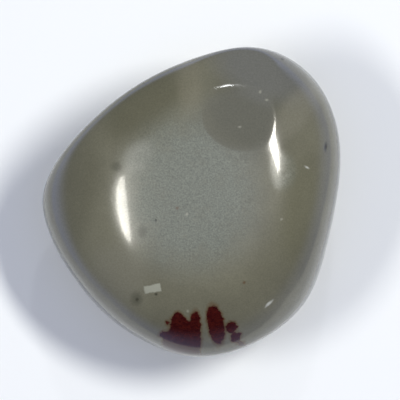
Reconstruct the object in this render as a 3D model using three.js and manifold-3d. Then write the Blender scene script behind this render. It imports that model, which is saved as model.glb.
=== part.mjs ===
// A tumbled porcellanite: one polished pebble, about 27 mm long, resting on a small worn flat spot.
// Porcellanite breaks into chunks with flat faces and shallow shell-like scars. Tumbling rounds every
// edge, but each face can still be made out in the finished pebble. The shape is built in the same way:
// the flat faces of the broken chunk, rounded into one another, then one shallow scar on the upper
// side, then the spot it rests on.
// Millimetres, +Z up, +X to the right and +Y away from the viewer who looks down on it. The origin is
// on the resting surface, below the middle of the pebble.

import * as THREE from 'three';
import { mergeVertices } from 'three/addons/utils/BufferGeometryUtils.js';
import Module from 'manifold-3d';

// Driving dimensions.

// The heart is the point inside the pebble from which its faces are measured.
const HEART_HEIGHT = 7.5;

// How tightly neighbouring faces meet. A higher number is a fresher edge, a lower one a rounder pebble.
const EDGE_TIGHTNESS = 12;

// The surface is a twenty-sided ball, each side split this many more times along its edges.
const BALL_DETAIL = 18;

// Faces of the broken chunk. Bearing: degrees from +X towards +Y. Rise: degrees by which the face
// looks up, 90 for straight up. Distance: from the heart to the face.
const FACES = [
  { name: 'crown', bearing: 300, rise: 87.5, distance: 8.35 },
  { name: 'base east', bearing: 20, rise: -80, distance: 8.35 },
  { name: 'base north-west', bearing: 130, rise: -81, distance: 8.3 },
  { name: 'base south', bearing: 255, rise: -80, distance: 8.3 },

  { name: 'north side', bearing: 107, rise: -20, distance: 10.25 },
  { name: 'north-west side', bearing: 128, rise: -24, distance: 9 },
  { name: 'west nose', bearing: 174, rise: 0, distance: 14 },
  { name: 'south-west side', bearing: 213, rise: 0, distance: 12.65 },
  { name: 'south side', bearing: 243, rise: 0, distance: 13.15 },
  { name: 'south end', bearing: 275, rise: 0, distance: 15.7 },
  { name: 'south-east side', bearing: 308, rise: 0, distance: 14.2 },
  { name: 'east side', bearing: 347, rise: 0, distance: 12.55 },
  { name: 'north-east side', bearing: 20, rise: -3, distance: 14.9 },
  { name: 'north-east nose', bearing: 62, rise: -6, distance: 15.4 },

  { name: 'north-west shoulder', bearing: 126, rise: 56, distance: 11.3 },
  { name: 'west-north-west shoulder', bearing: 154, rise: 42, distance: 12.5 },
  { name: 'west shoulder', bearing: 186, rise: 46, distance: 11.15 },
  { name: 'upper west slope', bearing: 185, rise: 74, distance: 8.95 },
  { name: 'west crown', bearing: 122, rise: 79, distance: 9.25 },
  { name: 'south-west shoulder', bearing: 232, rise: 44, distance: 11.6 },
  { name: 'south shoulder', bearing: 280, rise: 41, distance: 11.9 },
  { name: 'south slope', bearing: 272, rise: 68, distance: 9.7 },
  { name: 'south-east shoulder', bearing: 318, rise: 40, distance: 12.2 },
  { name: 'east shoulder', bearing: 354, rise: 45, distance: 12 },
  { name: 'east slope', bearing: 353, rise: 57, distance: 12.8 },
  { name: 'upper east slope', bearing: 28, rise: 71, distance: 10.95 },
  { name: 'north-east shoulder', bearing: 25, rise: 38, distance: 14.8 },
  { name: 'north slope', bearing: 103, rise: 57, distance: 12 },
  { name: 'north-east slope', bearing: 50, rise: 50, distance: 13.9 },

  { name: 'north keel', bearing: 100, rise: -45, distance: 10.6 },
  { name: 'west keel', bearing: 195, rise: -48, distance: 10.6 },
  { name: 'south keel', bearing: 288, rise: -42, distance: 11 },
  { name: 'east keel', bearing: 15, rise: -46, distance: 11.2 },
];

// The scar is where a shell-like flake came off the upper north-east side. Each half of it is part of
// a ball that is measured like a face. The near half is a hollow ball so large that it is nearly flat.
// The far half, with a negative radius, is a bulging ball that bends down over the north end.
const SCAR_HALVES = [
  { name: 'near half', bearing: 70.5, rise: 75.9, distance: 9.08, radius: 160 },
  { name: 'far half', bearing: 153.6, rise: 80.2, distance: 9.39, radius: -25 },
];

// How softly the halves bend into each other, and how softly the scar meets the faces around it.
const SCAR_BEND = 0.2;
const SCAR_LIP = 0.1;

// The cutting block that wears the resting spot flat.
const BLOCK_SIZE = 60;

const PORCELLANITE = { color: 0x6f7166, roughness: 0.22, metalness: 0 };

// The direction in which a face looks.
function outward({ bearing, rise }) {
  const turn = THREE.MathUtils.degToRad(bearing);
  const tilt = THREE.MathUtils.degToRad(rise);
  return new THREE.Vector3(
    Math.cos(turn) * Math.cos(tilt),
    Math.sin(turn) * Math.cos(tilt),
    Math.sin(tilt),
  );
}

// Each face as one vector: its outward direction over its distance.
const facePull = FACES.map((face) => outward(face).divideScalar(face.distance));

const scarBalls = SCAR_HALVES.map((half) => ({
  centre: outward(half).multiplyScalar(half.distance + half.radius),
  radius: half.radius,
}));

// How far the worn chunk reaches from the heart along a direction. Each face alone would stop it where
// pull . direction times the length is 1, and the sum of high powers rounds the faces into each other.
function chunkReach(direction) {
  let sum = 0;
  for (const pull of facePull) {
    sum += Math.max(0, pull.dot(direction)) ** EDGE_TIGHTNESS;
  }
  return sum ** (-1 / EDGE_TIGHTNESS);
}

// Where a ray from the heart enters a hollow ball or leaves a bulging one, or Infinity where it misses.
function ballReach(direction, { centre, radius }) {
  const along = direction.dot(centre);
  const inside = along * along - centre.lengthSq() + radius * radius;
  if (inside <= 0 || (radius > 0 && along <= 0)) {
    return Infinity;
  }
  return along - Math.sign(radius) * Math.sqrt(inside);
}

// The nearer of two reaches, with the edge between them rounded.
function roundedNearer(one, other, softness) {
  const blend = Math.max(0, softness - Math.abs(one - other));
  return Math.min(one, other) - (blend * blend) / (4 * softness);
}

function pebbleReach(direction) {
  const [near, far] = scarBalls.map((ball) => ballReach(direction, ball));
  const scar = roundedNearer(near, far, SCAR_BEND);
  return roundedNearer(chunkReach(direction), scar, SCAR_LIP);
}

function pebbleGeometry() {
  const ball = new THREE.IcosahedronGeometry(1, BALL_DETAIL);
  const places = ball.getAttribute('position');
  const direction = new THREE.Vector3();
  for (let i = 0; i < places.count; i += 1) {
    direction.fromBufferAttribute(places, i).normalize();
    const reach = pebbleReach(direction);
    places.setXYZ(i, ...direction.multiplyScalar(reach).toArray());
  }
  return ball.translate(0, 0, HEART_HEIGHT);
}

// Everything below z = 0 is worn away.
function blockGeometry() {
  return new THREE.BoxGeometry(BLOCK_SIZE, BLOCK_SIZE, BLOCK_SIZE).translate(0, 0, -BLOCK_SIZE / 2);
}

const wasm = await Module();
wasm.setup();

function toSolid(geometry) {
  geometry.deleteAttribute('normal');
  geometry.deleteAttribute('uv');
  const merged = mergeVertices(geometry);
  const vertProperties = new Float32Array(merged.getAttribute('position').array);
  const triVerts = new Uint32Array(merged.getIndex().array);
  return new wasm.Manifold(new wasm.Mesh({ numProp: 3, vertProperties, triVerts }));
}

function toGeometry(solid) {
  const { vertProperties, triVerts } = solid.getMesh();
  const geometry = new THREE.BufferGeometry();
  geometry.setAttribute('position', new THREE.BufferAttribute(vertProperties, 3));
  geometry.setIndex(new THREE.BufferAttribute(triVerts, 1));
  geometry.computeVertexNormals();
  return geometry;
}

const worn = toSolid(pebbleGeometry()).subtract(toSolid(blockGeometry()));

const stone = new THREE.Mesh(toGeometry(worn), new THREE.MeshStandardMaterial(PORCELLANITE));
stone.name = 'stone';

const pebble = new THREE.Group();
pebble.add(stone);

export default pebble;
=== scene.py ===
"""A tumbled porcellanite: one polished pebble, lying on a pale sheet and seen from straight above.

Porcellanite is a clay-rich rock hardened by silica until it looks like unglazed porcelain. It breaks
into chunks with flat faces and shallow shell-like scars. Tumbling wears the edges round and leaves a
waxy, nearly glassy polish. This one is olive grey, with three spots of red iron oxide at its south end.

The pebble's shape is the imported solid's: the flat faces of the broken chunk rounded into one another,
one scar, and the spot that it rests on. What is added here is finer than the solid shows: the slow
swell of the polish, pits, dents, two very shallow hollows, and the colours and gloss of the stone.

Sizes in the classes are millimetres, and meshes are written in metres. North is +Y, east is +X.
"""

from __future__ import annotations

import logging
import math
from dataclasses import dataclass
from enum import Enum

import bpy
import numpy as np
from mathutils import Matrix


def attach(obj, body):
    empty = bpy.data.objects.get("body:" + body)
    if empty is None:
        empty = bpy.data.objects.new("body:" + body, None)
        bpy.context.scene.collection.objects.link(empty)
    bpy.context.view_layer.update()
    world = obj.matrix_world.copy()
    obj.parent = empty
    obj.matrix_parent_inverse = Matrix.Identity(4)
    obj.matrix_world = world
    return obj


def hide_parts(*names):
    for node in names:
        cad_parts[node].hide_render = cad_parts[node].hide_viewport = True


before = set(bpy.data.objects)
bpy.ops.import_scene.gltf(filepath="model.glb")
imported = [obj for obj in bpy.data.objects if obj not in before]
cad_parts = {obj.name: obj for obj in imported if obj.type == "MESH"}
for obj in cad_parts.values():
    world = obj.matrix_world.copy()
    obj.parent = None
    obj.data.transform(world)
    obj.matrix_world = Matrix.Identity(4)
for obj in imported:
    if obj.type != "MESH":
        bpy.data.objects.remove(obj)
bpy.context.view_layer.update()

MM = 0.001
STONE_NODE = "stone"
FROSTED = "frosted"

# A length that nothing in the stone reaches.
FAR = 1e6

# How the edges of flecks and specks wander, and how close two of them flow together, in millimetres.
RAGGED_WIDTH = 0.3
RAGGED_REACH = 0.16
MARK_MERGING = 0.02

log = logging.getLogger("porcellanite")


# Colours and nodes.


def linear(hex_colour: str) -> tuple[float, float, float, float]:
    """Turn an sRGB hex colour into the linear colour that shaders and lamps use.

    Args:
        hex_colour: A colour such as "#6f7166".

    Returns:
        Linear red, green and blue, with an alpha of 1.
    """
    value = hex_colour.lstrip("#")
    shares = [int(value[i : i + 2], 16) / 255 for i in (0, 2, 4)]
    red, green, blue = (
        c / 12.92 if c <= 0.04045 else ((c + 0.055) / 1.055) ** 2.4 for c in shares
    )
    return red, green, blue, 1.0


def add_node(
    tree: bpy.types.NodeTree,
    kind: str,
    settings: dict[str, object] | None = None,
    inputs: dict[str | int, object] | None = None,
) -> bpy.types.Node:
    """Add one node with its settings and links.

    Args:
        tree: The node tree that takes it.
        kind: The node's type name.
        settings: Values for the node's own properties.
        inputs: For each socket, by name or number, a value or the output that feeds it.

    Returns:
        The new node.
    """
    node = tree.nodes.new(kind)
    for name, value in (settings or {}).items():
        setattr(node, name, value)
    for socket, value in (inputs or {}).items():
        if isinstance(value, bpy.types.NodeSocket):
            tree.links.new(value, node.inputs[socket])
        else:
            node.inputs[socket].default_value = value
    return node


# The pebble's shape.


def unit_vectors(bearing: np.ndarray, rise: np.ndarray) -> np.ndarray:
    """Directions from angles in degrees.

    East is cos(bearing) cos(rise), north is sin(bearing) cos(rise), up is sin(rise).

    Args:
        bearing: Degrees from east towards north.
        rise: Degrees above the horizon.

    Returns:
        Vectors of length 1, on a last axis of three.
    """
    turn, tilt = np.radians(bearing), np.radians(rise)
    return np.stack(
        [np.cos(turn) * np.cos(tilt), np.sin(turn) * np.cos(tilt), np.sin(tilt)], axis=-1
    )


@dataclass(frozen=True)
class Face:
    """One flat face of the broken chunk that the pebble was worn from."""

    name: str
    bearing: float
    rise: float
    distance: float


def rounded_nearer(one: np.ndarray, other: np.ndarray, softness: float) -> np.ndarray:
    """The nearer of two reaches, with the edge between them rounded.

    It is min(a, b) - max(0, s - |a - b|)^2 / (4 s), for a softness s.

    Args:
        one: Reaches in millimetres.
        other: Reaches in millimetres, or infinity.
        softness: How far apart the two still flow together, in millimetres.

    Returns:
        The reaches, in millimetres.
    """
    blend = np.maximum(softness - np.abs(one - other), 0)
    return np.minimum(one, other) - blend**2 / (4 * softness)


@dataclass(frozen=True)
class ScarHalf:
    """Part of the scar: part of a ball, hollow with a positive radius, bulging with a negative one."""

    bearing: float
    rise: float
    distance: float
    radius: float

    def reach(self, directions: np.ndarray) -> np.ndarray:
        """How far a ray from the heart goes before it enters the hollow or leaves the bulge.

        The ball of radius r is centred at c. A ray u meets it at u.c - sqrt((u.c)^2 - c.c + r^2) if it
        is hollow, and at u.c + sqrt((u.c)^2 - c.c + r^2) if it bulges.

        Args:
            directions: Unit vectors.

        Returns:
            The distance along each, or infinity where the ray misses.
        """
        outward = unit_vectors(np.array(self.bearing), np.array(self.rise))
        centre = outward * (self.distance + self.radius)
        along = directions @ centre
        inside = along**2 - centre @ centre + self.radius**2
        met = along - math.copysign(1, self.radius) * np.sqrt(np.maximum(inside, 0))
        return np.where((inside > 0) & ((along > 0) | (self.radius < 0)), met, np.inf)


@dataclass(frozen=True)
class Scar:
    """Where a shell-like flake came off: a nearly flat half, and a half that bends down northwards."""

    near: ScarHalf = ScarHalf(70.5, 75.9, 9.08, 160.0)
    far: ScarHalf = ScarHalf(153.6, 80.2, 9.39, -25.0)
    bend: float = 0.2
    lip: float = 0.1

    def reach(self, directions: np.ndarray) -> np.ndarray:
        """How far the scar lets a ray from the heart go.

        Args:
            directions: Unit vectors.

        Returns:
            The distance along each in millimetres.
        """
        return rounded_nearer(self.near.reach(directions), self.far.reach(directions), self.bend)


@dataclass(frozen=True)
class WornChunk:
    """The pebble's form: faces measured from its heart, rounded into one another by wear."""

    faces: tuple[Face, ...]
    scar: Scar
    heart_height: float = 7.5
    edge_tightness: float = 12
    flat_softness: float = 0.06

    def chunk_reach(self, directions: np.ndarray) -> np.ndarray:
        """How far the worn chunk reaches from the heart, before the scar.

        Each face alone stops a ray u at 1 / q, where q = (face direction . u) / distance. Together they
        stop it at (sum of q^tightness)^(-1 / tightness).

        Args:
            directions: Unit vectors, one a row.

        Returns:
            Millimetres from the heart, one a row.
        """
        outward = unit_vectors(
            np.array([face.bearing for face in self.faces]),
            np.array([face.rise for face in self.faces]),
        )
        pulls = outward / np.array([[face.distance] for face in self.faces])
        shares = np.maximum(directions @ pulls.T, 0) ** self.edge_tightness
        return shares.sum(-1) ** (-1 / self.edge_tightness)

    def reach(self, directions: np.ndarray) -> np.ndarray:
        """How far the pebble reaches from its heart.

        The scar cuts the chunk back, and its lip is rounded.

        Args:
            directions: Unit vectors, one a row.

        Returns:
            Millimetres from the heart, one a row.
        """
        chunk = self.chunk_reach(directions)
        return rounded_nearer(chunk, self.scar.reach(directions), self.scar.lip)

    def rest(self, points: np.ndarray) -> np.ndarray:
        """Raise points to where the pebble rests, and wear the spot under it flat.

        Height z becomes s ln(1 + e^(z / s)), which is z well above the surface, 0 well below it, and
        rounds the rim of the worn spot over a few times s.

        Args:
            points: Millimetres from the heart, one point a row.

        Returns:
            Millimetres from the origin, one point a row.
        """
        raised = points + [0.0, 0.0, self.heart_height]
        soft = self.flat_softness
        raised[:, 2] = soft * np.logaddexp(0, raised[:, 2] / soft)
        return raised


@dataclass(frozen=True)
class FrostedArea:
    """An oval area on the upper side that the polish didn't quite reach."""

    east: float
    north: float
    half_east: float
    half_north: float
    share: float = 1.0


@dataclass(frozen=True)
class Frost:
    """Where the pebble is still frosted: flat places that the tumbling grit only brushed."""

    areas: tuple[FrostedArea, ...]
    fade: float = 0.4
    scar_margin: float = 0.03

    def share(self, form: WornChunk, directions: np.ndarray) -> np.ndarray:
        """How frosted each point is, from 0 for polished to 1.

        An area's distance d is 1 on its oval, and its share falls smoothly from d = 1 - fade to
        1 + fade. The scar is younger than the frosted skin, so nothing is frosted inside it.

        Args:
            form: The pebble's form.
            directions: Unit vectors from the heart, one a row.

        Returns:
            The share, one a row.
        """
        chunk = form.chunk_reach(directions)
        place = directions * chunk[:, None]
        total = np.zeros(len(directions))
        for area in self.areas:
            away = np.hypot(
                (place[:, 0] - area.east) / area.half_east,
                (place[:, 1] - area.north) / area.half_north,
            )
            step = np.clip((1 + self.fade - away) / (2 * self.fade), 0, 1)
            total = np.maximum(total, area.share * step**2 * (3 - 2 * step))
        outside = (form.scar.reach(directions) - chunk) / self.scar_margin
        return total * np.clip(outside, 0, 1) * (directions[:, 2] > 0)


@dataclass(frozen=True)
class Dent:
    """A small hollow in the surface, placed on the upper side by its distance east and north."""

    east: float
    north: float
    radius: float
    depth: float


@dataclass(frozen=True)
class Swell:
    """Slow waves left by wear, which make a reflection wander."""

    wave_lengths: tuple[float, ...] = (9.0, 6.5, 4.6, 3.4)
    heights: tuple[float, ...] = (0.006, 0.004, 0.0025, 0.0015)
    waves_each: int = 4
    seed: int = 7

    def height(self, points: np.ndarray) -> np.ndarray:
        """Height of the swell: a sum of plane sine waves in random directions.

        Args:
            points: Millimetres, one point a row.

        Returns:
            Millimetres outwards, one a row.
        """
        rng = np.random.default_rng(self.seed)
        total = np.zeros(len(points))
        for wave_length, height in zip(self.wave_lengths, self.heights):
            ways = rng.normal(size=(self.waves_each, 3))
            ways /= np.linalg.norm(ways, axis=1, keepdims=True)
            phases = rng.uniform(0, 2 * math.pi, self.waves_each)
            waves = np.sin(points @ ways.T * (2 * math.pi / wave_length) + phases)
            total += waves.sum(-1) * height / self.waves_each**0.5
        return total


@dataclass(frozen=True)
class Pits:
    """Small pits that tumbling didn't reach, scattered over the whole pebble."""

    count: int = 60
    radius: tuple[float, float] = (0.14, 0.24)
    depth: tuple[float, float] = (0.003, 0.01)
    seed: int = 21

    def scatter(self, points: np.ndarray) -> list[tuple[np.ndarray, float, float]]:
        """Choose where the pits are.

        Args:
            points: The surface's points, one a row.

        Returns:
            Each pit's place, radius and depth.
        """
        rng = np.random.default_rng(self.seed)
        chosen = points[rng.integers(0, len(points), self.count)]
        radii = rng.uniform(*self.radius, self.count)
        depths = rng.uniform(*self.depth, self.count)
        return list(zip(chosen, radii, depths))


def cube_lattice(cells: int) -> tuple[np.ndarray, np.ndarray]:
    """Six square grids on the sides of a cube, joined along its edges.

    Each side has whole-number coordinates from 0 to cells, so shared edge points are equal exactly.

    Args:
        cells: Squares along each edge.

    Returns:
        The points as whole numbers, one a row, and four point numbers for each square, facing outwards.
    """
    steps = np.arange(cells + 1)
    first, second = (a.ravel() for a in np.meshgrid(steps, steps, indexing="ij"))
    corner = (steps[:-1, None] * (cells + 1) + steps[None, :-1]).ravel()
    squares = np.stack([corner, corner + cells + 1, corner + cells + 2, corner + 1], axis=1)
    sides, faces = [], []
    for axis in range(3):
        for level in (0, cells):
            side = np.empty((len(first), 3), dtype=np.int64)
            side[:, axis] = level
            side[:, (axis + 1) % 3] = first
            side[:, (axis + 2) % 3] = second
            faces.append((squares if level else squares[:, ::-1]) + len(first) * len(sides))
            sides.append(side)
    every = np.concatenate(sides)
    points, number = np.unique(every, axis=0, return_inverse=True)
    return points, number.ravel()[np.concatenate(faces)]


def ball_directions(lattice: np.ndarray, cells: int, lift: float) -> np.ndarray:
    """Spread a cube's lattice over the ball, closer together towards the top.

    Each coordinate c from -1 to 1 becomes tan(c pi / 4), the point is brought to length 1, lift is added
    to its height, and it is brought to length 1 again.

    Args:
        lattice: The lattice's whole-number points.
        cells: Squares along each of the cube's edges.
        lift: How much closer together the upper points are, from 0 to under 1.

    Returns:
        Unit vectors, one a row.
    """
    spread = np.tan((lattice / cells * 2 - 1) * (math.pi / 4))
    spread /= np.linalg.norm(spread, axis=1, keepdims=True)
    spread[:, 2] += lift
    return spread / np.linalg.norm(spread, axis=1, keepdims=True)


# The stone's finish.


class Edge(Enum):
    """How the edge of a coloured spot is drawn: an oval or a corner-to-corner box."""

    OVAL = "oval"
    BLOCK = "block"


@dataclass(frozen=True)
class Lobe:
    """Part of a spot: a small volume of the stone, placed east and north, turned about the upright.

    Above the height up it goes straight up through the stone. Below it closes like half an egg.
    """

    east: float
    north: float
    half_length: float
    half_width: float
    turn: float = 0.0
    edge: Edge = Edge.OVAL
    up: float = 8.0
    half_height: float = 1.0

    def depth(self, tree: bpy.types.NodeTree, place: bpy.types.NodeSocket) -> bpy.types.NodeSocket:
        """Distance outside the lobe in millimetres, negative inside.

        The place is centred, turned and divided by the half sizes, and its height counts only where it
        is below the centre. An oval takes its length and a block its largest share; less 1, times the
        half width, that is roughly the distance.

        Args:
            tree: The material's node tree.
            place: The surface's place in millimetres.

        Returns:
            The output that gives the distance.
        """
        local = add_node(
            tree,
            "ShaderNodeMapping",
            {"vector_type": "TEXTURE"},
            {
                "Vector": place,
                "Location": (self.east, self.north, self.up),
                "Rotation": (0.0, 0.0, math.radians(self.turn)),
                "Scale": (self.half_length, self.half_width, self.half_height),
            },
        ).outputs[0]
        local = add_node(
            tree, "ShaderNodeVectorMath", {"operation": "MINIMUM"}, {0: local, 1: (FAR, FAR, 0.0)}
        ).outputs[0]
        if self.edge is Edge.OVAL:
            size = add_node(
                tree, "ShaderNodeVectorMath", {"operation": "LENGTH"}, {0: local}
            ).outputs["Value"]
        else:
            shares = add_node(
                tree, "ShaderNodeVectorMath", {"operation": "ABSOLUTE"}, {0: local}
            ).outputs[0]
            parts = add_node(tree, "ShaderNodeSeparateXYZ", None, {0: shares}).outputs
            wide = add_node(
                tree, "ShaderNodeMath", {"operation": "MAXIMUM"}, {0: parts[0], 1: parts[1]}
            ).outputs[0]
            size = add_node(
                tree, "ShaderNodeMath", {"operation": "MAXIMUM"}, {0: wide, 1: parts[2]}
            ).outputs[0]
        thin = min(self.half_length, self.half_width)
        return add_node(
            tree, "ShaderNodeMath", {"operation": "MULTIPLY_ADD"}, {0: size, 1: thin, 2: -thin}
        ).outputs[0]


def nearest_lobe(
    tree: bpy.types.NodeTree,
    lobes: tuple[Lobe, ...],
    place: bpy.types.NodeSocket,
    blend: float,
) -> bpy.types.NodeSocket:
    """Distance outside the nearest of several lobes, with the notches between them filled a little.

    Args:
        tree: The material's node tree.
        lobes: The lobes.
        place: The surface's place in millimetres.
        blend: How far apart two lobes still flow together, in millimetres.

    Returns:
        The output that gives the distance.
    """
    nearest = lobes[0].depth(tree, place)
    for lobe in lobes[1:]:
        nearest = add_node(
            tree,
            "ShaderNodeMath",
            {"operation": "SMOOTH_MIN"},
            {0: nearest, 1: lobe.depth(tree, place), 2: blend},
        ).outputs[0]
    return nearest


@dataclass(frozen=True)
class Marks:
    """Marks of one colour: where they are and how they look."""

    colour: str
    lobes: tuple[Lobe, ...]
    softness: float = 0.05
    strength: float = 1.0


@dataclass(frozen=True)
class TintAndLightPatch:
    """A soft area coloured a little differently; several are painted light: painted glow around a
    highlight, painted sheen on ridges, painted dull reflection in the scar.
    """

    colour: str
    centre: tuple[float, float, float]
    half_size: tuple[float, float, float]
    strength: float
    turn: float = 0.0
    whole_inside: float = 0.45
    gone_outside: float = 1.25

    def share(self, tree: bpy.types.NodeTree, place: bpy.types.NodeSocket) -> bpy.types.NodeSocket:
        """How much of the patch's colour shows: strength in its middle, falling smoothly to nothing.

        Args:
            tree: The material's node tree.
            place: The surface's place in millimetres.

        Returns:
            The output that gives the share.
        """
        local = add_node(
            tree,
            "ShaderNodeMapping",
            {"vector_type": "TEXTURE"},
            {
                "Vector": place,
                "Location": self.centre,
                "Rotation": (0.0, 0.0, math.radians(self.turn)),
                "Scale": self.half_size,
            },
        ).outputs[0]
        away = add_node(
            tree, "ShaderNodeVectorMath", {"operation": "LENGTH"}, {0: local}
        ).outputs["Value"]
        return add_node(
            tree,
            "ShaderNodeMapRange",
            {"interpolation_type": "SMOOTHSTEP"},
            {0: away, 1: self.gone_outside, 2: self.whole_inside, 3: 0.0, 4: self.strength},
        ).outputs[0]


@dataclass(frozen=True)
class Porcellanite:
    """Tumbled porcellanite, polished. Waxy and nearly glassy, with a flat crown that stayed frosted.

    It has the index of quartz, 1.54, because silica fills it. The clear gloss comes from the polish that
    tumbling leaves. The frosted places scatter light, so their grain shows: grains of a few hundredths
    of a millimetre, drawn about a seventh of a millimetre across so that they show. They are coloured
    paler and bluer, partly the frosted skin's own tone and partly painted sheen of the overhead light.
    Widths and heights are millimetres.
    """

    name: str = "porcellanite, tumbled to a waxy polish"
    body: str = "#6e6d5e"
    body_cloudy: str = "#757464"
    # Frosted colour: the frosted skin's own paler tone together with painted sheen of the overhead
    # light.
    frosted_tone_and_sheen: str = "#71756a"
    refractive_index: float = 1.54
    polished_roughness: float = 0.14
    frosted_roughness: float = 0.4
    gloss_weight: float = 0.35
    gloss_roughness: float = 0.08
    haze_level: float = 0.35
    cloudiness_width: float = 5.0
    frost_patch_width: float = 1.4
    grain_width: float = 0.15
    grain_height: float = 0.006
    polished_grain: float = 0.45
    frosted_grain: float = 1.25

    def body_colour(
        self, tree: bpy.types.NodeTree, place: bpy.types.NodeSocket, tint_and_light_patches: tuple[TintAndLightPatch, ...]
    ) -> bpy.types.NodeSocket:
        """The polished stone's colour: slightly cloudy all over, with larger soft patches on it, several
        of them painted light.

        Args:
            tree: The material's node tree.
            place: The surface's place in millimetres.
            tint_and_light_patches: Soft areas of a different colour.

        Returns:
            The output that gives the colour.
        """
        cloudiness = add_node(
            tree,
            "ShaderNodeTexNoise",
            None,
            {"Vector": place, "Scale": 1 / self.cloudiness_width, "Detail": 3.0, "Roughness": 0.55},
        ).outputs[0]
        share = add_node(
            tree,
            "ShaderNodeMapRange",
            {"interpolation_type": "SMOOTHSTEP"},
            {0: cloudiness, 1: 0.36, 2: 0.64, 3: 0.0, 4: 1.0},
        ).outputs[0]
        colour = add_node(
            tree,
            "ShaderNodeMix",
            {"data_type": "RGBA"},
            {0: share, 6: linear(self.body), 7: linear(self.body_cloudy)},
        ).outputs[2]
        for tint_and_light_patch in tint_and_light_patches:
            colour = add_node(
                tree,
                "ShaderNodeMix",
                {"data_type": "RGBA"},
                {0: tint_and_light_patch.share(tree, place), 6: colour, 7: linear(tint_and_light_patch.colour)},
            ).outputs[2]
        return colour

    def frosted_share(
        self, tree: bpy.types.NodeTree, place: bpy.types.NodeSocket
    ) -> bpy.types.NodeSocket:
        """How frosted the surface is: the mesh's own share, broken up into small patches.

        Args:
            tree: The material's node tree.
            place: The surface's place in millimetres.

        Returns:
            The output that gives the share, from 0 for polished to 1.
        """
        patches = add_node(
            tree,
            "ShaderNodeTexNoise",
            None,
            {"Vector": place, "Scale": 1 / self.frost_patch_width, "Detail": 4.0, "Roughness": 0.7},
        ).outputs[0]
        patches = add_node(
            tree, "ShaderNodeMapRange", None, {0: patches, 1: 0.25, 2: 0.75, 3: 0.55, 4: 1.45}
        ).outputs[0]
        even = add_node(tree, "ShaderNodeAttribute", {"attribute_name": FROSTED}).outputs["Fac"]
        return add_node(
            tree, "ShaderNodeMath", {"operation": "MULTIPLY", "use_clamp": True}, {0: even, 1: patches}
        ).outputs[0]


def wandering_place(
    tree: bpy.types.NodeTree,
    place: bpy.types.NodeSocket,
    width: float,
    reach: float,
    detail: float,
    roughness: float,
) -> bpy.types.NodeSocket:
    """Nudge the surface's place with noise, so that a spot drawn there gets an uneven edge.

    The noise n is about 0 to 1 in each direction, and the place moves by reach (n - 1/2).

    Args:
        tree: The material's node tree.
        place: The surface's place in millimetres.
        width: Millimetres across one wave of the noise.
        reach: Millimetres from one end of the movement to the other.
        detail: How many finer waves lie on the noise.
        roughness: How strong the finer waves are.

    Returns:
        The output that gives the nudged place.
    """
    noise = add_node(
        tree,
        "ShaderNodeTexNoise",
        None,
        {"Vector": place, "Scale": 1 / width, "Detail": detail, "Roughness": roughness},
    ).outputs["Color"]
    nudge = add_node(
        tree,
        "ShaderNodeVectorMath",
        {"operation": "MULTIPLY_ADD"},
        {0: noise, 1: (reach,) * 3, 2: (-reach / 2,) * 3},
    ).outputs[0]
    return add_node(
        tree, "ShaderNodeVectorMath", {"operation": "ADD"}, {0: place, 1: nudge}
    ).outputs[0]


@dataclass(frozen=True)
class IronOxide:
    """Red iron oxide that crept outwards from a few seeds through the stone.

    Its edge is crumbly, with a thin rusty border, and rust mottles it. Widths are millimetres.
    """

    lobes: tuple[Lobe, ...]
    red: str = "#340b0c"
    rusty_red: str = "#4a1812"
    border: str = "#5c4326"
    creep: float = 0.55
    merging: float = 0.3
    border_width: float = 0.22
    border_strength: float = 0.55
    mottle_width: float = 0.35

    def over(
        self,
        tree: bpy.types.NodeTree,
        place: bpy.types.NodeSocket,
        colour: bpy.types.NodeSocket,
    ) -> bpy.types.NodeSocket:
        """Colour the spots.

        Args:
            tree: The material's node tree.
            place: The surface's place in millimetres.
            colour: The colour around them.

        Returns:
            The output that gives the colour with the spots in it.
        """
        crept = wandering_place(tree, place, self.creep, self.creep, 3.0, 0.65)
        outside = nearest_lobe(tree, self.lobes, crept, self.merging)
        border = add_node(
            tree,
            "ShaderNodeMapRange",
            {"interpolation_type": "SMOOTHSTEP"},
            {0: outside, 1: self.border_width, 2: 0.02, 3: 0.0, 4: self.border_strength},
        ).outputs[0]
        inside = add_node(
            tree,
            "ShaderNodeMapRange",
            {"interpolation_type": "SMOOTHSTEP"},
            {0: outside, 1: 0.05, 2: -0.06, 3: 0.0, 4: 1.0},
        ).outputs[0]
        mottle = add_node(
            tree,
            "ShaderNodeTexNoise",
            None,
            {"Vector": place, "Scale": 1 / self.mottle_width, "Detail": 3.0, "Roughness": 0.7},
        ).outputs[0]
        mottle = add_node(
            tree, "ShaderNodeMapRange", None, {0: mottle, 1: 0.4, 2: 0.7, 3: 0.0, 4: 1.0}
        ).outputs[0]
        oxide = add_node(
            tree,
            "ShaderNodeMix",
            {"data_type": "RGBA"},
            {0: mottle, 6: linear(self.red), 7: linear(self.rusty_red)},
        ).outputs[2]
        colour = add_node(
            tree,
            "ShaderNodeMix",
            {"data_type": "RGBA"},
            {0: border, 6: colour, 7: linear(self.border)},
        ).outputs[2]
        return add_node(
            tree, "ShaderNodeMix", {"data_type": "RGBA"}, {0: inside, 6: colour, 7: oxide}
        ).outputs[2]


def marks_over(
    tree: bpy.types.NodeTree,
    place: bpy.types.NodeSocket,
    colour: bpy.types.NodeSocket,
    marks: tuple[Marks, ...],
) -> bpy.types.NodeSocket:
    """Colour the flecks and specks, with slightly ragged edges.

    Args:
        tree: The material's node tree.
        place: The surface's place in millimetres.
        colour: The colour around them.
        marks: The groups of marks.

    Returns:
        The output that gives the colour with the marks in it.
    """
    nudged = wandering_place(tree, place, RAGGED_WIDTH, RAGGED_REACH, 2.0, 0.6)
    for group in marks:
        outside = nearest_lobe(tree, group.lobes, nudged, MARK_MERGING)
        share = add_node(
            tree,
            "ShaderNodeMapRange",
            {"interpolation_type": "SMOOTHSTEP"},
            {0: outside, 1: group.softness, 2: -group.softness, 3: 0.0, 4: group.strength},
        ).outputs[0]
        colour = add_node(
            tree,
            "ShaderNodeMix",
            {"data_type": "RGBA"},
            {0: share, 6: colour, 7: linear(group.colour)},
        ).outputs[2]
    return colour


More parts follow.
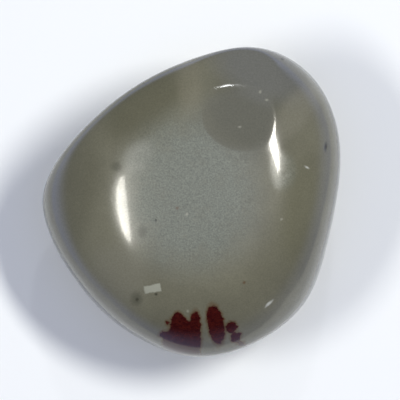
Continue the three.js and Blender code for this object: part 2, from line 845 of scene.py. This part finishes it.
def build_porcellanite(
    finish: Porcellanite,
    tint_and_light_patches: tuple[TintAndLightPatch, ...],
    iron: IronOxide,
    marks: tuple[Marks, ...],
) -> bpy.types.Material:
    """Build the stone's material.

    Args:
        finish: Its colours and gloss.
        tint_and_light_patches: Soft areas of a different colour.
        iron: The red iron oxide spots.
        marks: Flecks and specks.

    Returns:
        The material.
    """
    material = bpy.data.materials.new(finish.name)
    material.use_nodes = True
    tree = material.node_tree
    tree.nodes.clear()

    coords = add_node(tree, "ShaderNodeTexCoord").outputs["Object"]
    place = add_node(
        tree, "ShaderNodeVectorMath", {"operation": "SCALE"}, {0: coords, "Scale": 1 / MM}
    ).outputs[0]

    frosted = finish.frosted_share(tree, place)
    # Frosted places are coloured paler and bluer: partly their own tone, partly painted sheen of the
    # overhead light.
    colour = add_node(
        tree,
        "ShaderNodeMix",
        {"data_type": "RGBA"},
        {
            0: frosted,
            6: finish.body_colour(tree, place, tint_and_light_patches),
            7: linear(finish.frosted_tone_and_sheen),
        },
    ).outputs[2]
    roughness = add_node(
        tree,
        "ShaderNodeMapRange",
        None,
        {0: frosted, 1: 0.0, 2: 1.0, 3: finish.polished_roughness, 4: finish.frosted_roughness},
    ).outputs[0]

    # Grain: silt-sized grains in slightly different tones, which show most where it is frosted.
    grain = add_node(
        tree,
        "ShaderNodeTexNoise",
        None,
        {"Vector": place, "Scale": 1 / finish.grain_width, "Detail": 2.0, "Roughness": 0.6},
    ).outputs[0]
    contrast = add_node(
        tree,
        "ShaderNodeMapRange",
        None,
        {0: frosted, 1: 0.0, 2: 1.0, 3: finish.polished_grain, 4: finish.frosted_grain},
    ).outputs[0]
    centred = add_node(
        tree, "ShaderNodeMath", {"operation": "SUBTRACT"}, {0: grain, 1: 0.5}
    ).outputs[0]
    grain_tone = add_node(
        tree, "ShaderNodeMath", {"operation": "MULTIPLY_ADD"}, {0: centred, 1: contrast, 2: 1.0}
    ).outputs[0]
    colour = add_node(
        tree, "ShaderNodeVectorMath", {"operation": "SCALE"}, {0: colour, "Scale": grain_tone}
    ).outputs[0]
    bump = add_node(
        tree,
        "ShaderNodeBump",
        None,
        {"Strength": contrast, "Distance": finish.grain_height * MM, "Height": grain},
    ).outputs[0]

    colour = iron.over(tree, place, colour)
    colour = marks_over(tree, place, colour, marks)
    shader = add_node(
        tree,
        "ShaderNodeBsdfPrincipled",
        None,
        {
            "Base Color": colour,
            "Roughness": roughness,
            "IOR": finish.refractive_index,
            "Specular IOR Level": finish.haze_level,
            "Coat Weight": finish.gloss_weight,
            "Coat Roughness": finish.gloss_roughness,
            "Normal": bump,
        },
    )
    add_node(tree, "ShaderNodeOutputMaterial", None, {"Surface": shader.outputs[0]})
    return material


# The pebble.


@dataclass
class Pebble:
    """The whole stone: its mesh and its finish."""

    form: WornChunk
    swell: Swell
    pits: Pits
    dents: tuple[Dent, ...]
    frost: Frost
    finish: Porcellanite
    tint_and_light_patches: tuple[TintAndLightPatch, ...]
    iron: IronOxide
    marks: tuple[Marks, ...]
    cells: int = 126
    lift: float = 0.36

    def surface(self) -> tuple[np.ndarray, np.ndarray, np.ndarray]:
        """Work out the surface.

        A point in direction u lies at reach(u) + swell + dents, where a dent of depth d and radius r
        takes away d exp(-(distance / r)^2).

        Returns:
            The points in millimetres, the four point numbers of each square, and how frosted each
            point is.
        """
        lattice, squares = cube_lattice(self.cells)
        directions = ball_directions(lattice, self.cells, self.lift)
        reach = self.form.reach(directions)
        bare = directions * reach[:, None]
        height = self.swell.height(bare)
        for centre, radius, depth in self.hollows(bare):
            away = ((bare - centre) ** 2).sum(-1)
            height -= depth * np.exp(-away / radius**2)
        points = self.form.rest(directions * (reach + height)[:, None])
        return points, squares, self.frost.share(self.form, directions)

    def hollows(self, bare: np.ndarray) -> list[tuple[np.ndarray, float, float]]:
        """Find every pit and dent. A dent lies at the point of the upper side nearest to its place.

        Args:
            bare: The surface's points without them, one a row.

        Returns:
            The place, radius and depth of each.
        """
        upper = bare[bare[:, 2] > 0]
        found = self.pits.scatter(bare)
        for dent in self.dents:
            away = ((upper[:, :2] - [dent.east, dent.north]) ** 2).sum(-1)
            found.append((upper[away.argmin()], dent.radius, dent.depth))
        return found

    def build(self) -> bpy.types.Object:
        """Make the stone, dress it and set it in its place.

        Returns:
            The stone's object.
        """
        points, squares, frosted = self.surface()
        mesh = bpy.data.meshes.new("tumbled_stone")
        mesh.from_pydata((points * MM).tolist(), [], squares.tolist())
        mesh.polygons.foreach_set("use_smooth", np.ones(len(squares), dtype=bool))
        mesh.attributes.new(FROSTED, "FLOAT", "POINT").data.foreach_set("value", frosted)
        mesh.update()
        stone = bpy.data.objects.new("tumbled_stone", mesh)
        bpy.context.scene.collection.objects.link(stone)
        mesh.materials.append(build_porcellanite(self.finish, self.tint_and_light_patches, self.iron, self.marks))
        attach(stone, "root")
        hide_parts(STONE_NODE)
        log.info("stone: %d points, %d triangles", len(points), 2 * len(squares))
        return stone


FACES = (
    Face("crown", 300, 87.5, 8.35),
    Face("base east", 20, -80, 8.35),
    Face("base north-west", 130, -81, 8.3),
    Face("base south", 255, -80, 8.3),
    Face("north side", 107, -20, 10.25),
    Face("north-west side", 128, -24, 9),
    Face("west nose", 174, 0, 14),
    Face("south-west side", 213, 0, 12.65),
    Face("south side", 243, 0, 13.15),
    Face("south end", 275, 0, 15.7),
    Face("south-east side", 308, 0, 14.2),
    Face("east side", 347, 0, 12.55),
    Face("north-east side", 20, -3, 14.9),
    Face("north-east nose", 62, -6, 15.4),
    Face("north-west shoulder", 126, 56, 11.3),
    Face("west-north-west shoulder", 154, 42, 12.5),
    Face("west shoulder", 186, 46, 11.15),
    Face("upper west slope", 185, 74, 8.95),
    Face("west crown", 122, 79, 9.25),
    Face("south-west shoulder", 232, 44, 11.6),
    Face("south shoulder", 280, 41, 11.9),
    Face("south slope", 272, 68, 9.7),
    Face("south-east shoulder", 318, 40, 12.2),
    Face("east shoulder", 354, 45, 12),
    Face("east slope", 353, 57, 12.8),
    Face("upper east slope", 28, 71, 10.95),
    Face("north-east shoulder", 25, 38, 14.8),
    Face("north slope", 103, 57, 12),
    Face("north-east slope", 50, 50, 13.9),
    Face("north keel", 100, -45, 10.6),
    Face("west keel", 195, -48, 10.6),
    Face("south keel", 288, -42, 11),
    Face("east keel", 15, -46, 11.2),
)

DENTS = (
    # Two broad shallow hollows west of the crown, between which the shoulder bends round it.
    Dent(-7.9, 5.4, 3.0, 0.15),
    Dent(-7.6, -5.4, 3.0, 0.13),
    # Small dents under dark marks.
    Dent(-3.2, -1.6, 0.2, 0.03),
    Dent(11.7, 4.85, 0.22, 0.05),
    Dent(-4.85, -8.5, 0.25, 0.03),
)

FROST = Frost(
    (
        # The flat crown, and a patch beside the scar.
        FrostedArea(-0.3, 0.7, 5.4, 6.2),
        FrostedArea(7.9, 2.7, 1.1, 1.5, 0.45),
    )
)

IRON_LOBES = (
    # The broad western spot, from its two northern lobes to where it runs under the south end.
    Lobe(-1.25, -10.75, 0.7, 1.05),
    Lobe(0.24, -10.75, 0.48, 1.15),
    Lobe(-0.75, -11.4, 1.35, 1.0),
    Lobe(-0.95, -12.2, 1.7, 1.2),
    Lobe(0.05, -12.2, 0.6, 1.2, 0.0, Edge.BLOCK),
    Lobe(-2.6, -11.6, 0.3, 0.2, 20.0),
    Lobe(-2.2, -10.6, 0.13, 0.13),
    # The middle spot, a leaning oval.
    Lobe(2.05, -10.78, 0.74, 1.76, 11.0),
    # The eastern spot, two drops and a tail.
    Lobe(3.43, -11.0, 0.5, 0.5),
    Lobe(3.76, -11.95, 0.44, 0.46, 20.0),
    Lobe(4.14, -11.64, 0.14, 0.12),
    Lobe(4.3, -12.5, 0.3, 0.17, -20.0),
)

TINT_AND_LIGHT_PATCHES = (
    # Painted glow and a painted highlight beside the west shoulder, paler at the south-west, and painted
    # dull reflection that makes the scar greyer.
    # Painted glow beside the western highlight.
    TintAndLightPatch("#87877a", (-4.9, 0.1, 13.0), (2.4, 5.6, 9.0), 0.5, 2.0),
    TintAndLightPatch("#7d7c70", (-6.4, -6.3, 13.0), (2.6, 3.2, 9.0), 0.5, 35.0),
    # Painted dull reflection: the smooth scar mirrors the dim room, so it is painted greyer, out to its
    # north end.
    TintAndLightPatch("#5b5b50", (5.1, 7.9, 13.0), (4.8, 5.5, 9.0), 0.8, -35.0),
    TintAndLightPatch("#6b6c68", (6.0, 11.5, 13.0), (5.0, 2.7, 9.0), 0.85, -25.0),
    # Painted highlight where the western highlight bends round at its north end.
    TintAndLightPatch("#9c9d93", (-4.6, 3.9, 13.0), (1.9, 1.4, 9.0), 0.75, 50.0),
    # Darker on the north-west slope and along the east and west sides.
    TintAndLightPatch("#5e5d4d", (-10.0, 1.5, 13.0), (2.0, 6.5, 9.0), 0.45, -8.0),
    TintAndLightPatch("#5c5b4a", (-4.2, 8.6, 13.0), (5.0, 2.8, 9.0), 0.75, 35.0),
    TintAndLightPatch("#66654f", (9.6, -1.0, 13.0), (1.8, 5.5, 9.0), 0.35, -8.0),
    # Painted sheen along the soft ridges on both sides of the scar.
    TintAndLightPatch("#84806f", (-0.3, 10.5, 13.0), (1.2, 3.6, 9.0), 0.25, 4.0),
    TintAndLightPatch("#8a887a", (9.0, 7.8, 13.0), (1.5, 3.2, 9.0), 0.4, -38.0),
)

MARKS = (
    # The pale fleck, and the streak at the south-east with the little arc at the east, which is a
    # painted glint.
    Marks(
        "#9c9e91",
        (
            Lobe(-3.8, -7.64, 0.42, 0.31, 12.0, Edge.BLOCK),
            Lobe(-3.15, -7.52, 0.36, 0.34, 12.0, Edge.BLOCK),
        ),
        0.07,
    ),
    # The little arc at the east is a painted glint on a chip.
    Marks("#c0c2ba", (Lobe(6.73, -8.91, 0.4, 0.1, 43.0), Lobe(10.03, 3.04, 0.17, 0.06, -30.0)), 0.07),
    # Tiny light specks.
    Marks(
        "#a2a294",
        (
            Lobe(-0.4, -9.56, 0.1, 0.1),
            Lobe(-0.49, -1.06, 0.11, 0.13),
            Lobe(7.79, -1.5, 0.1, 0.1),
            Lobe(5.93, 9.65, 0.1, 0.13),
            Lobe(6.5, 8.94, 0.13, 0.09),
            Lobe(4.12, 6.58, 0.14, 0.08),
        ),
        0.08,
        0.55,
    ),
    # Brown dots of iron.
    Marks("#5a3a20", (Lobe(4.53, -7.04, 0.13, 0.13), Lobe(-1.33, -0.53, 0.12, 0.12)), 0.12, 0.6),
    # A dark dash at the east and dark specks.
    Marks(
        "#1b1a14",
        (
            Lobe(11.7, 4.85, 0.1, 0.36, -5.0, up=11.8, half_height=0.5),
            Lobe(7.92, 12.57, 0.12, 0.1, up=11.0, half_height=0.4),
            Lobe(-3.2, -8.08, 0.13, 0.1),
            Lobe(-4.87, -8.54, 0.13, 0.15),
            Lobe(-3.19, -1.59, 0.1, 0.1),
        ),
        0.09,
        0.7,
    ),
    # Soft dark smudges.
    Marks(
        "#4c4c40",
        (Lobe(-4.9, -8.5, 0.5, 0.55), Lobe(-6.68, 3.1, 0.45, 0.4), Lobe(-4.4, -2.6, 0.4, 0.5)),
        0.3,
        0.5,
    ),
)


# The studio.


@dataclass(frozen=True)
class Lamp:
    """A long oval lamp that lies level and points at the pebble."""

    name: str
    bearing: float
    rise: float
    distance: float
    length: float
    width: float
    radiance: float
    colour: str

    def build(self) -> bpy.types.Object:
        """Hang the lamp. An oval of area A that gives out P watts has a radiance of P / (pi A).

        Returns:
            The lamp's object.
        """
        area = math.pi / 4 * self.length * self.width * MM**2
        data = bpy.data.lights.new(self.name, "AREA")
        data.shape = "ELLIPSE"
        data.size = self.length * MM
        data.size_y = self.width * MM
        data.energy = self.radiance * math.pi * area
        data.color = linear(self.colour)[:3]
        lamp = bpy.data.objects.new(self.name, data)
        towards = unit_vectors(np.array(self.bearing), np.array(self.rise))
        lamp.location = (towards * self.distance * MM).tolist()
        lamp.rotation_euler = (
            math.radians(90 - self.rise),
            0.0,
            math.radians(self.bearing + 90),
        )
        bpy.context.scene.collection.objects.link(lamp)
        return lamp


LAMPS = (
    Lamp("right lamp", 25, 60, 450, 150, 54, 69, "#fffcf2"),
    Lamp("left lamp", 185, 57, 450, 165, 54, 33, "#fffcf2"),
    Lamp("north lamp", 84, 45, 450, 26, 34, 46, "#fbfdff"),
)


@dataclass(frozen=True)
class Studio:
    """The pale sheet under the pebble, the dim room and the lamps.

    Only reflections and shading see the room: a pale ceiling, dim walls, and a pale table that shades
    off towards the horizon and is brighter on the bright side. The camera sees a plain backdrop. Levels
    are radiances, heights are those of a direction of length 1, and bright_side is a bearing.
    """

    lamps: tuple[Lamp, ...]
    sheet_colour: str = "#f1f5fa"
    sheet_half_width: float = 36.0
    sheet_drop: float = 0.02
    room_colour: str = "#c3cfff"
    room_level: float = 0.03
    ceiling_level: float = 1.0
    ceiling_power: float = 8.0
    table_level: float = 1.08
    table_starts: float = 0.1
    table_full: float = -0.26
    table_tilt: float = 0.6
    bright_side: float = 120.0
    backdrop_colour: str = "#e8ebee"

    def lay_sheet(self) -> None:
        """Lay a matt white sheet, a hair below the resting surface."""
        half, below = self.sheet_half_width * MM, -self.sheet_drop * MM
        corners = [(east, north, below) for east, north in
                   ((-half, -half), (half, -half), (half, half), (-half, half))]
        mesh = bpy.data.meshes.new("pale_sheet")
        mesh.from_pydata(corners, [], [(0, 1, 2, 3)])
        sheet = bpy.data.objects.new("pale_sheet", mesh)
        bpy.context.scene.collection.objects.link(sheet)
        paper = bpy.data.materials.new("matt white paper")
        paper.use_nodes = True
        tree = paper.node_tree
        tree.nodes.clear()
        shader = add_node(
            tree, "ShaderNodeBsdfDiffuse", None, {"Color": linear(self.sheet_colour)}
        )
        add_node(tree, "ShaderNodeOutputMaterial", None, {"Surface": shader.outputs[0]})
        mesh.materials.append(paper)

    def set_room(self) -> None:
        """Set the room.

        In a direction of height h the ceiling gives ceiling_level h^ceiling_power above the horizon. The
        table's level rises smoothly as h falls from table_starts to table_full, and is multiplied by
        1 + table_tilt times the direction's share towards the bright side.
        """
        world = bpy.data.worlds.new("dim room")
        world.use_nodes = True
        tree = world.node_tree
        tree.nodes.clear()
        seen = add_node(tree, "ShaderNodeLightPath").outputs["Is Camera Ray"]
        way = add_node(tree, "ShaderNodeTexCoord").outputs["Generated"]
        height = add_node(tree, "ShaderNodeSeparateXYZ", None, {0: way}).outputs[2]
        above = add_node(
            tree, "ShaderNodeMath", {"operation": "MAXIMUM"}, {0: height, 1: 0.0}
        ).outputs[0]
        ceiling = add_node(
            tree, "ShaderNodeMath", {"operation": "POWER"}, {0: above, 1: self.ceiling_power}
        ).outputs[0]
        table = add_node(
            tree,
            "ShaderNodeMapRange",
            {"interpolation_type": "SMOOTHSTEP"},
            {
                0: height,
                1: self.table_starts,
                2: self.table_full,
                3: self.room_level,
                4: self.table_level,
            },
        ).outputs[0]
        brighter = unit_vectors(np.array(self.bright_side), np.array(0.0)) * self.table_tilt
        tilt = add_node(
            tree, "ShaderNodeVectorMath", {"operation": "DOT_PRODUCT"}, {0: way, 1: brighter.tolist()}
        ).outputs["Value"]
        table = add_node(
            tree, "ShaderNodeMath", {"operation": "MULTIPLY_ADD"}, {0: table, 1: tilt, 2: table}
        ).outputs[0]
        glow = add_node(
            tree,
            "ShaderNodeMath",
            {"operation": "MULTIPLY_ADD"},
            {0: ceiling, 1: self.ceiling_level, 2: table},
        ).outputs[0]
        room = add_node(
            tree,
            "ShaderNodeVectorMath",
            {"operation": "SCALE"},
            {0: linear(self.room_colour)[:3], "Scale": glow},
        ).outputs[0]
        colour = add_node(
            tree,
            "ShaderNodeMix",
            {"data_type": "RGBA"},
            {0: seen, 6: room, 7: linear(self.backdrop_colour)},
        ).outputs[2]
        light = add_node(tree, "ShaderNodeBackground", None, {"Color": colour, "Strength": 1.0})
        add_node(tree, "ShaderNodeOutputWorld", None, {"Surface": light.outputs[0]})
        bpy.context.scene.world = world

    def build(self) -> None:
        """Lay the sheet, set the room and hang the lamps."""
        self.lay_sheet()
        self.set_room()
        for lamp in self.lamps:
            lamp.build()
            log.info("lamp: %s", lamp.name)


@dataclass(frozen=True)
class OverheadCamera:
    """A camera straight above the pebble, with a long lens."""

    east: float = 0.66
    north: float = 0.18
    height: float = 600.0
    sharp_height: float = 8.0
    frame_width: float = 35.4
    sensor: float = 36.0

    def build(self) -> None:
        """Place the camera so that its frame is frame_width wide at the pebble's widest height."""
        data = bpy.data.cameras.new("overhead camera")
        data.sensor_width = self.sensor
        data.lens = self.sensor * (self.height - self.sharp_height) / self.frame_width
        camera = bpy.data.objects.new("overhead camera", data)
        camera.location = (self.east * MM, self.north * MM, self.height * MM)
        bpy.context.scene.collection.objects.link(camera)
        bpy.context.scene.camera = camera
        log.info("camera: %.0f mm above the sheet, %.0f mm lens", self.height, data.lens)


def main() -> None:
    """Build the pebble, the studio and the camera."""
    logging.basicConfig(level=logging.INFO, format="%(name)s: %(message)s")
    scene = bpy.context.scene
    scene.view_settings.view_transform = "Standard"
    scene.view_settings.look = "None"
    Pebble(
        WornChunk(FACES, Scar()),
        Swell(),
        Pits(),
        DENTS,
        FROST,
        Porcellanite(),
        TINT_AND_LIGHT_PATCHES,
        IronOxide(IRON_LOBES),
        MARKS,
    ).build()
    Studio(LAMPS).build()
    OverheadCamera().build()
    bpy.context.view_layer.update()


if __name__ == "__main__":
    main()
